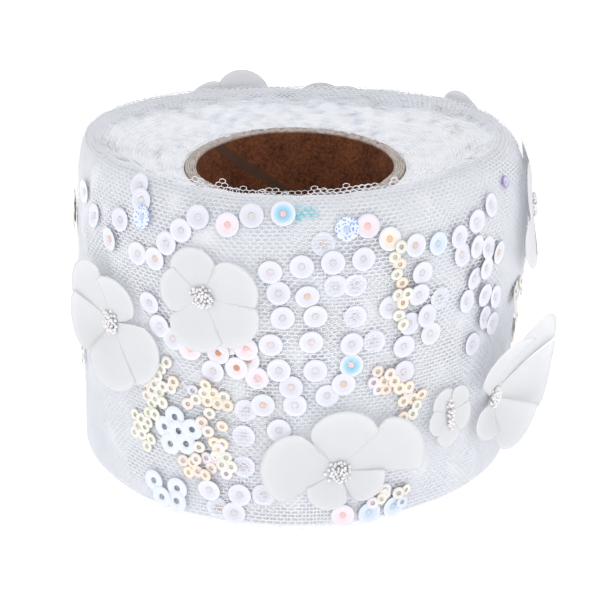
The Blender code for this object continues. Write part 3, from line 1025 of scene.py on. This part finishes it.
def net_layer(name, net, lift, shift, slant, widest, seed, finish):
    """One turn of net: a honeycomb of threads on the cloth.

    Each cell is a hexagonal hole that stands on its point, drawn in by half a thread, and each row
    of cells is half a cell on from the last. The faces are the threads between one hole and the next,
    and the small triangles where three holes meet. Cells above the ragged edge are left out.
    """
    draw = np.random.default_rng(seed)
    cells, rise = net.cells_round, net.row_rise
    wide = TAU / cells
    foot = 0.0010
    lines = int(widest / rise) + 3
    row, col = np.meshgrid(np.arange(-1, lines), np.arange(cells), indexing="ij")
    turn = (col + 0.5 * (row % 2)) * wide + shift / ROLL_RADIUS
    climb = foot + row * rise
    sway = 0.00035 * ripples(turn, row * rise, (2, 7), (0.03, 0.12), seed + 1)
    climb = climb + sway * np.clip(row / 6, 0, 1) + draw.normal(0, 0.00002, climb.shape)
    turn = turn + slant * (climb - foot) / ROLL_RADIUS + draw.normal(0, 0.00003, climb.shape) / ROLL_RADIUS
    ragged = 0.0005 * ripples(turn, 0 * turn, (11, 60), (1, 2), seed + 3)
    ragged = ragged + draw.uniform(-0.0004, 0.0004, turn.shape)
    kept = (climb < widest + ragged) & (row >= 0)
    thick = net.thread_width * draw.uniform(0.8, 1.25, climb.shape)
    # The six corners of a hole, from the lower left round by the right.
    side = np.array([-0.5, 0.0, 0.5, 0.5, 0.0, -0.5])
    high = np.array([-1.0, -2.0, -1.0, 1.0, 2.0, 1.0]) / 3
    hole_turn = turn[..., None] + side * (wide - thick[..., None] / ROLL_RADIUS)
    hole_climb = climb[..., None] + high * (rise - thick[..., None] * 0.95)
    puff = 0.00010 * ripples(hole_turn, hole_climb, (8, 40), (0.008, 0.03), seed + 2)
    radius, height, _, _ = skin(hole_turn, hole_climb, lift + puff)
    number = np.arange(climb.size).reshape(climb.shape)
    here = number[:-1]
    right = np.roll(here, -1, 1)
    even = row[:-1] % 2 == 0
    above = number[1:]
    upper_right = np.where(even, above, np.roll(above, -1, 1))
    upper_left = np.where(even, np.roll(above, 1, 1), above)
    inside = kept.ravel()

    def between(*corners):
        cells_met = np.stack([cell.ravel() for cell, _ in corners], -1)
        places = cells_met * 6 + np.array([corner for _, corner in corners])
        return places[inside[cells_met].any(-1)]

    threads = np.concatenate(
        [
            between((here, 2), (right, 0), (right, 5), (here, 3)),
            between((here, 4), (here, 3), (upper_right, 1), (upper_right, 0)),
            between((here, 5), (here, 4), (upper_left, 2), (upper_left, 1)),
        ]
    )
    knots = np.concatenate(
        [
            between((here, 4), (upper_right, 0), (upper_left, 2)),
            between((here, 3), (right, 5), (upper_right, 1)),
        ]
    )
    used = np.unique(np.concatenate([threads.ravel(), knots.ravel()]))
    place = np.zeros(climb.size * 6, int)
    place[used] = np.arange(len(used))
    # Painted reflection: net cells near turn 2 degrees and 84 mm up get turquoise glints in the thread's
    # colour.
    across = turn_from(turn, math.radians(2.0)) * ROLL_RADIUS / 0.0034
    glint = np.exp(-(across**2) - ((climb - 0.0840) / 0.0022) ** 2)
    lit = glint > draw.uniform(0.15, 1.0, glint.shape)
    points = about_axis(radius, hole_turn, np.maximum(height, 0.0002)).reshape(-1, 3)[used]
    made = publish(
        name,
        points,
        (place[threads], place[knots]),
        finish,
        values={"glint": np.repeat(lit.ravel() * 0.9, 6)[used]},
    )


class RIBBON_OT_net_layers(bpy.types.Operator):
    """Makes the two outermost turns of net, thread by thread, with their ragged edges"""

    bl_idname = "ribbon_roll.net_layers"
    bl_label = "Net layers"

    def execute(self, context):
        net = context.scene.ribbon_roll.net
        finish = thread_finish(net.colour)
        net_layer("net_outer", net, net.outer_lift, 0.0, 0.0, CLOTH_WIDTH + 0.0006, 31, finish)
        net_layer("net_inner", net, net.inner_lift, 0.00075, 0.03, CLOTH_WIDTH, 41, finish)
        return {"FINISHED"}


class RIBBON_OT_edge_turns(bpy.types.Operator):
    """Makes the ribbon's upper edge as it winds inwards over the top: a ragged strip along a spiral"""

    bl_idname = "ribbon_roll.edge_turns"
    bl_label = "Edge turns"

    def execute(self, context):
        net = context.scene.ribbon_roll.net
        inner = CORE_INNER_RADIUS + CORE_WALL + SEAT_GAP + 0.0003
        widest = max(CREST_RADII) - 0.0030
        turns = (widest - inner) / net.edge_pitch
        steps = int(turns * 240)
        along = np.linspace(0.0, 1.0, steps)
        turn = along * turns * TAU
        radius = widest + (inner - widest) * along
        radius = radius + 0.00012 * ripples(turn, radius, (2, 11), (0.003, 0.012), 51)
        fits = radius < round_the_roll(CREST_RADII, turn) - 2.2 * CREST_ROUND
        base = top_level(turn, radius) + 0.3 * net.body_lift
        draw = np.random.default_rng(52)
        ragged = draw.uniform(0, 1, steps)
        ragged = (ragged + np.roll(ragged, 1)) / 2
        tall = 0.00005 + 0.00012 * ripples(turn, radius, (9, 60), (0.004, 0.02), 53) + 0.0003 * ragged
        tall = np.clip(tall, 0.00004, 0.0008)
        lean = 0.00015 * ripples(turn, radius, (9, 60), (0.004, 0.02), 54)
        levels = np.array([-0.9, 0.0, 0.5, 1.0])[:, None]
        rise = np.where(levels < 0, levels * 0.001, levels * tall)
        points = about_axis(
            radius + lean * np.clip(levels, 0, 1) ** 1.5, np.broadcast_to(turn, rise.shape), base + rise
        )
        faces = patch_grid(4, steps)
        fine = fits[faces[:, 0] % steps] & fits[faces[:, 1] % steps]
        publish(
            "edge_turns",
            points,
            faces[fine],
            # Painted light: the edge's thread is coloured 1.14 times the net's colour, paler than the net.
            thread_finish([1.14 * tone for tone in net.colour]),
            values={"glint": np.zeros(points.shape[:2])},
        )
        return {"FINISHED"}


def along_chain(bends, count):
    """Evenly spaced places along a chain: straight from bend to bend, by the length sewn."""
    bends = np.array(bends, float)
    if count == 1 or len(bends) == count:
        return bends[:count]
    step = np.diff(bends * [math.radians(1) * ROLL_RADIUS / MM, 1.0], axis=0)
    run = np.concatenate([[0.0], np.cumsum(np.hypot(step[:, 0], step[:, 1]))])
    at = np.linspace(0.0, run[-1], count)
    return np.stack([np.interp(at, run, bends[:, 0]), np.interp(at, run, bends[:, 1])], -1)


def washer(section, sides):
    """A shape turned about its own axis from a closed section of (radius, height), faces outwards."""
    section = np.array(section, float)
    turn = np.arange(sides) * TAU / sides
    points = np.stack(
        [
            section[:, :1] * np.cos(turn),
            section[:, :1] * np.sin(turn),
            np.broadcast_to(section[:, 1:], (len(section), sides)),
        ],
        -1,
    )
    faces, _, _ = tube_grid(len(section), sides)
    return points.reshape(-1, 3), faces


def sewn(template, faces, turn, height, lift, tilt, spin):
    """Copies of a shape sewn on the cloth, each at its place, tilted a little and spun about its normal."""
    climb = climb_at(turn, height)
    point, round_way, up_way, normal = cloth_frame(turn, climb, lift)
    tilted = normal + tilt[:, :1] * round_way + tilt[:, 1:] * up_way
    tilted /= np.linalg.norm(tilted, axis=1, keepdims=True)
    across = round_way * np.cos(spin)[:, None] + up_way * np.sin(spin)[:, None]
    across -= (across * tilted).sum(1, keepdims=True) * tilted
    across /= np.linalg.norm(across, axis=1, keepdims=True)
    third = np.cross(tilted, across)
    axes = np.stack([across, third, tilted], 1)
    points = point[:, None] + np.einsum("pk,nkc->npc", template, axes)
    return points, repeated(faces, len(template), len(turn))


def petal_reach(across):
    """How far a petal's edge lies from the flower's centre, as a share, by the angle from its middle line."""
    lobe = np.cos(math.pi / 2 * np.clip(np.abs(across) / PETAL_HALF, 0, 1))
    return 0.5 + 0.5 * np.maximum(lobe, 0) ** 0.4


def petal_span(direction, petals):
    """The angles across a petal: as far as half way to the next petal on each side, and a small lap more."""
    others = [math.radians(other - direction) for other, _ in petals if other != direction]
    gaps = np.array([math.remainder(other, TAU) for other in others])
    before = max(gaps[gaps < 0].max() / 2 - PETAL_LAP, -PETAL_HALF)
    after = min(gaps[gaps > 0].min() / 2 + PETAL_LAP, PETAL_HALF)
    return np.linspace(before, after, PETAL_COLUMNS)


def stitches(name, radius, colour, turn, height, lift, tilt, spin):
    """The stitch in each sequin's hole: a low dome of thread, in its own colour."""
    dome = [(0.01, 0.19), (0.58, 0.15), (0.98, 0.05), (1.0, -0.07), (0.01, -0.09)]
    template, faces = washer(np.array(dome) * radius, 8)
    points, all_faces = sewn(template, faces, turn, height, lift, tilt, spin)
    film = np.concatenate([colour, np.ones((len(colour), 1))], 1)
    publish(
        name,
        points,
        all_faces,
        bead_finish(name, 0.6),
        colours={"film": np.repeat(film[:, None], len(template), 1)},
    )


def film_colours(names, inward, size):
    """Each copy's colour at each of its points, from its rim's (0) to its recess's (1), which is partly
    painted shade, and its flecks.
    """
    rim = np.array([FILM_LOOKS[name][0] for name in names])[:, None]
    recess = np.array([FILM_LOOKS[name][1] for name in names])[:, None]
    share = np.repeat(np.array(inward, float), size // len(inward))[None, :, None]
    film = np.concatenate([rim + (recess - rim) * share, np.ones((len(names), size, 1))], -1)
    fleck = np.array([FILM_LOOKS[name][3] for name in names])
    return film, np.repeat(fleck[:, None], size, 1)


def flower_reach(around, petals):
    """How far a flower's edge lies from its centre in this direction: the farthest of its petals."""
    reach = 0.0
    for direction, length in petals:
        reach = np.maximum(reach, length * petal_reach(turn_from(around, math.radians(direction))))
    return reach


def clear_of_petals(turn, height, margin):
    """Which places are not beneath a sewn flower, or are so near its edge that they show."""
    clear = np.full(turn.shape, True)
    for name, middle, level, *_ in FLOWERS:
        along = turn_from(turn, math.radians(middle)) * ROLL_RADIUS
        up = height - level
        reach = flower_reach(np.arctan2(up, along), PETALS[name])
        clear &= np.hypot(along, up) > reach - margin
    return clear


def disc_places():
    """Each larger sequin's look and its place: along the chains in front, and the lower ones again behind."""
    names, places = [], []
    for look, count, bends in DISC_CHAINS:
        for place in along_chain(bends, count):
            names.append(look)
            places.append(place)
    places, names = np.array(places), np.array(names)
    low = places[:, 1] < BACK_BELOW
    names = np.concatenate([names, names[low]])
    places = np.concatenate([places, places[low] * [1, BACK_SHARE] + [180, 0]])
    shows = clear_of_petals(np.radians(places[:, 0]), places[:, 1] * MM, 0.0012)
    return names[shows], places[shows]


class RIBBON_OT_disc_sequins(bpy.types.Operator):
    """Makes the larger sequins, cupped discs with a sewing hole, and the stitch seen in each hole"""

    bl_idname = "ribbon_roll.disc_sequins"
    bl_label = "Disc sequins"

    def execute(self, context):
        sizes = context.scene.ribbon_roll.sequins
        draw = np.random.default_rng(61)
        names, places = disc_places()
        turn, height = np.radians(places[:, 0]), places[:, 1] * MM
        hidden = names == "hidden"
        order = np.arange(len(names)) % 3
        lift = np.where(hidden, -0.00012, sizes.lift + 0.00012 * order)
        tilt = draw.normal(0, 0.055, (len(names), 2))
        tilt[hidden] = 0
        spin = draw.uniform(0, TAU, len(names))
        rim, hole = sizes.disc_radius, sizes.disc_hole
        section = (
            (rim, 0.00002),
            (rim * 1.005, 0.00010),
            (rim * 0.96, 0.00018),
            (rim * 0.80, 0.00021),
            (rim * 0.62, 0.00010),
            (rim * 0.36, -0.00010),
            (hole, -0.00013),
            (hole, -0.00022),
            (rim * 0.52, -0.00010),
            (rim * 0.62, 0.00010),
        )
        # Each section point's share of the recess colour, partly painted shade in the cup.
        inward = (0, 0, 0, 0.15, 0.65, 1, 1, 1, 0.9, 0.2)
        template, faces = washer(section, 20)
        points, all_faces = sewn(template, faces, turn, height, lift, tilt, spin)
        film, fleck = film_colours(names, inward, len(template))
        film[..., :3] *= 1 + draw.uniform(-0.035, 0.015, (len(names), 1, 1))
        publish(
            "disc_sequins",
            points,
            all_faces,
            film_finish("pearl_film", 0.32),
            values={"fleck": fleck},
            colours={"film": film},
        )
        glints = np.array(HOLE_GLINTS)[draw.integers(0, len(HOLE_GLINTS), len(names))]
        own = np.array([FILM_LOOKS[name][2] for name in names])
        special = ~np.isin(names, ("pearl", "hidden"))
        colour = np.where(special[:, None], own, glints)
        stitches("disc_stitches", 0.00086, colour, turn, height, lift - 0.00018, tilt, spin)
        return {"FINISHED"}


class RIBBON_OT_disc_flowers(bpy.types.Operator):
    """Makes the small flowers of flat discs with wide holes, sewn close"""

    bl_idname = "ribbon_roll.disc_flowers"
    bl_label = "Disc flowers"

    def execute(self, context):
        places = np.array([place for flower in DISC_FLOWERS for place in flower], float)
        places = np.concatenate([places, places + [180, 0]])
        places = places[clear_of_petals(np.radians(places[:, 0]), places[:, 1] * MM, 0.0015)]
        count = len(places)
        draw = np.random.default_rng(71)
        section = (
            (0.00288, 0.0),
            (0.00291, 0.00008),
            (0.00282, 0.00016),
            (0.00090, 0.00016),
            (0.00082, 0.00008),
            (0.00088, 0.0),
        )
        template, faces = washer(section, 22)
        lift = 0.00075 + 0.00006 * (np.arange(count) % 4)
        points, all_faces = sewn(
            template,
            faces,
            np.radians(places[:, 0]),
            places[:, 1] * MM,
            lift,
            draw.normal(0, 0.03, (count, 2)),
            draw.uniform(0, TAU, count),
        )
        # The hole's edge takes the frost look's darker recess colour, painted shade.
        film, fleck = film_colours(["frost"] * count, (0, 0, 0, 1, 1, 0), len(template))
        publish(
            "disc_flowers",
            points,
            all_faces,
            film_finish("flat_film", 0.38),
            values={"fleck": fleck},
            colours={"film": film},
        )
        return {"FINISHED"}


class RIBBON_OT_ring_sequins(bpy.types.Operator):
    """Makes the fields of small ring sequins: a staggered grid, cut to each field's oval"""

    bl_idname = "ribbon_roll.ring_sequins"
    bl_label = "Ring sequins"

    def execute(self, context):
        sizes = context.scene.ribbon_roll.sequins
        draw = np.random.default_rng(81)
        turns, heights, names = [], [], []
        pitch = sizes.ring_pitch
        for looks, where, high, wide, tall, tilt in RING_FIELDS:
            for side in (0, 180):
                reach = int(max(wide, tall) * MM / pitch) + 2
                row, col = np.meshgrid(np.arange(-reach, reach + 1), np.arange(-reach, reach + 1))
                across = (col + 0.5 * (row % 2)) * pitch
                up = row * pitch * 0.866
                start = draw.uniform(-0.5, 0.5, 2) * pitch
                across, up = across + start[0], up + start[1]
                lean = math.radians(tilt)
                flat = across * math.cos(lean) + up * math.sin(lean)
                tallways = up * math.cos(lean) - across * math.sin(lean)
                inside = (flat / (wide * MM)) ** 2 + (tallways / (tall * MM)) ** 2 < 1
                inside &= draw.uniform(0, 1, inside.shape) > 0.10
                spot_across = across[inside] + draw.normal(0, 0.00025, inside.sum())
                spot_up = up[inside] + draw.normal(0, 0.00025, inside.sum())
                turns.append(math.radians(where + side) + spot_across / ROLL_RADIUS)
                heights.append(high * MM + spot_up)
                names += [looks[k] for k in draw.integers(0, len(looks), inside.sum())]
        for look, where, high in RING_SINGLES:
            turns.append(np.radians([where]))
            heights.append(np.array([high * MM]))
            names.append(look)
        turn = np.concatenate(turns)
        height = np.clip(np.concatenate(heights), sizes.ring_radius + 0.0002, None)
        looks, discs = disc_places()
        discs = np.concatenate([discs[looks != "hidden"], *map(np.array, DISC_FLOWERS)])
        apart = turn_from(turn[:, None], np.radians(discs[:, 0])) * ROLL_RADIUS
        nearest = np.hypot(apart, height[:, None] - discs[:, 1] * MM).min(1)
        shows = clear_of_petals(turn, height, 0.0008) & (nearest > 0.7 * sizes.disc_radius)
        turn, height, names = turn[shows], height[shows], np.array(names)[shows]
        over_disc = nearest[shows] < sizes.disc_radius + sizes.ring_radius
        count = len(turn)
        rim, hole = sizes.ring_radius, sizes.ring_hole
        middle = (rim + hole) / 2
        section = (
            (rim, 0.0),
            (rim * 0.97, 0.00018),
            (middle, 0.00026),
            (hole * 1.04, 0.00016),
            (hole, 0.0),
            (middle, -0.00004),
        )
        template, faces = washer(section, 14)
        lift = 0.00034 + 0.00007 * (np.arange(count) % 4)
        lift = np.where(over_disc, lift + sizes.lift + 0.00030, lift)
        tilt = draw.normal(0, 0.08, (count, 2))
        spin = draw.uniform(0, TAU, count)
        points, all_faces = sewn(template, faces, turn, height, lift, tilt, spin)
        # Near the hole the colour turns to the recess's, partly painted shade.
        film, fleck = film_colours(names, (0, 0, 0.3, 0.9, 1, 0.5), len(template))
        film[..., :3] *= 1 + draw.uniform(-0.05, 0.04, (count, 1, 1))
        publish(
            "ring_sequins",
            points,
            all_faces,
            film_finish("ring_film", 0.34),
            values={"fleck": fleck},
            colours={"film": np.clip(film, 0, 1)},
        )
        thread = np.array([0.60, 0.57, 0.55]) * draw.uniform(0.8, 1.15, (count, 1))
        stitches("ring_stitches", hole * 1.03, thread, turn, height, lift - 0.00006, tilt, spin)
        return {"FINISHED"}


class RIBBON_OT_petals(bpy.types.Operator):
    """Makes the sewn flowers: five sheer petals each, every one a fan from the centre with a rounded end"""

    bl_idname = "ribbon_roll.petals"
    bl_label = "Petals"

    def execute(self, context):
        sizes = context.scene.ribbon_roll.petals
        finish = petal_finish(sizes.colour)
        share = np.linspace(0.05, 1.0, PETAL_ROWS)[:, None] ** 0.9
        for number, (name, turn, height, stand_off, far_side) in enumerate(FLOWERS):
            turn, far_side = math.radians(turn), math.radians(far_side)
            draw = np.random.default_rng(90 + number)
            spots, places, rims = [], [], []
            for order, (direction, length) in enumerate(PETALS[name]):
                own = draw.uniform(-1, 1, 2)
                across = petal_span(direction, PETALS[name])[None, :]
                side = across / PETAL_HALF
                around = math.radians(direction) + across
                out = length * petal_reach(across) * share
                flat, up = out * np.cos(around), out * np.sin(around)
                lean = 0.1 + 0.9 * (0.5 + 0.5 * np.cos(around - far_side))
                here = turn + flat / (ROLL_RADIUS + stand_off * lean)
                wave = np.sin(2.2 * side + 2.0 * own[0]) + 0.5 * np.sin(4.4 * side + 3.0 * own[1])
                lifted = stand_off * lean * share**1.7 + sizes.crumple * wave * share**2
                lifted = lifted + 0.00004 * (order + 1) * share
                level = np.clip(height + up, 0.0006, None)
                radius = outer_radius(here, level) + sizes.seat + np.maximum(lifted, -0.0001)
                spots.append(about_axis(radius, here, level).reshape(-1, 3))
                places.append(np.stack([flat / MM, up / MM], -1).reshape(-1, 2))
                edge = share**10 * (1 - side**6)
                rims.append(edge.reshape(-1))
            quads = patch_grid(PETAL_ROWS, PETAL_COLUMNS)[:, ::-1]
            faces = repeated(quads, PETAL_ROWS * PETAL_COLUMNS, len(PETALS[name]))
            flat_places = np.concatenate(places)
            made = publish(
                name.replace("flower", "petals"),
                np.concatenate(spots),
                faces,
                finish,
                uv=flat_places[faces],
                values={"rim": np.concatenate(rims)},
            )
            thick = made.modifiers.new("Cloth", "SOLIDIFY")
            thick.thickness = sizes.cloth
            thick.offset = 0.0
            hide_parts(name)
        return {"FINISHED"}


class RIBBON_OT_bead_centres(bpy.types.Operator):
    """Makes the clump of small beads sewn on each flower's centre"""

    bl_idname = "ribbon_roll.bead_centres"
    bl_label = "Bead centres"

    def execute(self, context):
        size = context.scene.ribbon_roll.petals.bead_radius
        seat = context.scene.ribbon_roll.petals.seat
        draw = np.random.default_rng(101)
        steps = np.radians(np.array([-78, -40, 0, 40, 78]))
        ball, faces = washer(np.stack([np.cos(steps), np.sin(steps)], -1) * size, 7)
        turns, heights, lifts = [], [], []
        for name, turn, height, *_ in FLOWERS:
            count, wide, tall = (24, 0.0012, 0.0042) if name == "flower_small" else (40, 0.0031, 0.0031)
            order = np.arange(count)
            out = np.sqrt((order + 0.5) / count) * draw.uniform(0.85, 1.15, count)
            around = order * 2.39996
            turns.append(math.radians(turn) + wide * out * np.cos(around) / ROLL_RADIUS)
            heights.append(height + tall * out * np.sin(around))
            lifts.append(seat + 0.0005 + 0.0006 * (1 - out**2) + draw.uniform(-0.0002, 0.0002, count))
        turn, height, lift = (np.concatenate(part) for part in (turns, heights, lifts))
        count = len(turn)
        points, all_faces = sewn(
            ball, faces, turn, height, lift, draw.normal(0, 0.5, (count, 2)), draw.uniform(0, TAU, count)
        )
        film = np.array(BEAD_WHITES)[draw.integers(0, len(BEAD_WHITES), count)]
        publish(
            "bead_centres",
            points,
            all_faces,
            bead_finish("glass_bead", 0.15),
            colours={"film": np.repeat(film[:, None], len(ball), 1)},
        )
        return {"FINISHED"}


class RIBBON_OT_stage(bpy.types.Operator):
    """Sets the plain pale floor, the soft studio light and the camera at the photograph's angle"""

    bl_idname = "ribbon_roll.stage"
    bl_label = "Stage"

    def execute(self, context):
        settings = context.scene.ribbon_roll.stage
        scene = context.scene
        scene.view_settings.view_transform = "Standard"
        made, tree, shader = new_finish("pale_floor", Roughness=0.9, Specular_IOR_Level=0.0)
        shader.inputs["Emission Color"].default_value = (1.0, 1.0, 1.0, 1.0)
        shader.inputs["Emission Strength"].default_value = 0.65
        cloud = add(tree, "ShaderNodeTexNoise", {"Vector": object_place(tree), "Scale": 1.5})
        tree.links.new(
            blend(tree, cloud.outputs["Fac"], (0.79, 0.79, 0.79), (0.81, 0.81, 0.81)),
            shader.inputs["Base Color"],
        )
        side = np.linspace(-4.0, 4.0, 9)
        across, deep = np.meshgrid(side, side)
        mesh = bpy.data.meshes.new("floor")
        mesh.from_pydata(
            np.stack([across, deep, 0 * across], -1).reshape(-1, 3).tolist(), [], patch_grid(9, 9).tolist()
        )
        mesh.materials.append(made)
        floor = bpy.data.objects.new("floor", mesh)
        scene.collection.objects.link(floor)
        world = bpy.data.worlds.new("white_surround")
        world.use_nodes = True
        world.node_tree.nodes["Background"].inputs["Color"].default_value = (1.0, 1.0, 1.0, 1.0)
        world.node_tree.nodes["Background"].inputs["Strength"].default_value = settings.sky
        scene.world = world
        lamp = bpy.data.lights.new("soft_key", "AREA")
        lamp.energy = settings.key
        lamp.shape = "DISK"
        lamp.size = 0.7
        key = bpy.data.objects.new("soft_key", lamp)
        key.location = (0.06, -0.45, 0.75)
        key.rotation_euler = (math.radians(33), 0.0, math.radians(8))
        scene.collection.objects.link(key)
        lens = bpy.data.cameras.new("camera")
        lens.lens = settings.lens
        lens.sensor_width = 36.0
        lens.clip_start = 0.01
        lens.clip_end = 20.0
        lens.shift_x = 5.0 / 600
        lens.shift_y = -0.4 / 600
        camera = bpy.data.objects.new("camera", lens)
        camera.location = (
            AXIS_X,
            AXIS_Y - settings.distance * math.cos(settings.elevation),
            CORE_HEIGHT / 2 + settings.distance * math.sin(settings.elevation),
        )
        camera.rotation_euler = (math.pi / 2 - settings.elevation, 0.0, 0.0)
        scene.collection.objects.link(camera)
        scene.camera = camera
        return {"FINISHED"}


PIECE_OPERATORS = (
    RIBBON_OT_core_tube,
    RIBBON_OT_wound_turns,
    RIBBON_OT_net_layers,
    RIBBON_OT_edge_turns,
    RIBBON_OT_disc_sequins,
    RIBBON_OT_disc_flowers,
    RIBBON_OT_ring_sequins,
    RIBBON_OT_petals,
    RIBBON_OT_bead_centres,
    RIBBON_OT_stage,
)


class RIBBON_PT_roll(bpy.types.Panel):
    """Lists the roll's pieces in the sidebar"""

    bl_label = "Ribbon Roll"
    bl_idname = "RIBBON_PT_roll"
    bl_space_type = "VIEW_3D"
    bl_region_type = "UI"
    bl_category = "Ribbon Roll"

    def draw(self, context):
        for piece in PIECE_OPERATORS:
            self.layout.operator(piece.bl_idname)


CLASSES = (
    NetSettings,
    SequinSettings,
    PetalSettings,
    CoreSettings,
    StageSettings,
    RibbonRollSettings,
    *PIECE_OPERATORS,
    RIBBON_PT_roll,
)


def register():
    """Adds the classes and the scene's settings."""
    for made in CLASSES:
        bpy.utils.register_class(made)
    bpy.types.Scene.ribbon_roll = PointerProperty(type=RibbonRollSettings)


def unregister():
    """Takes the settings and the classes away again."""
    del bpy.types.Scene.ribbon_roll
    for made in reversed(CLASSES):
        bpy.utils.unregister_class(made)


def main():
    """Makes every piece in order, then the stage."""
    register()
    bpy.ops.ribbon_roll.core_tube()
    bpy.ops.ribbon_roll.wound_turns()
    bpy.ops.ribbon_roll.net_layers()
    bpy.ops.ribbon_roll.edge_turns()
    bpy.ops.ribbon_roll.disc_sequins()
    bpy.ops.ribbon_roll.disc_flowers()
    bpy.ops.ribbon_roll.ring_sequins()
    bpy.ops.ribbon_roll.petals()
    bpy.ops.ribbon_roll.bead_centres()
    bpy.ops.ribbon_roll.stage()


if __name__ == "__main__":
    main()
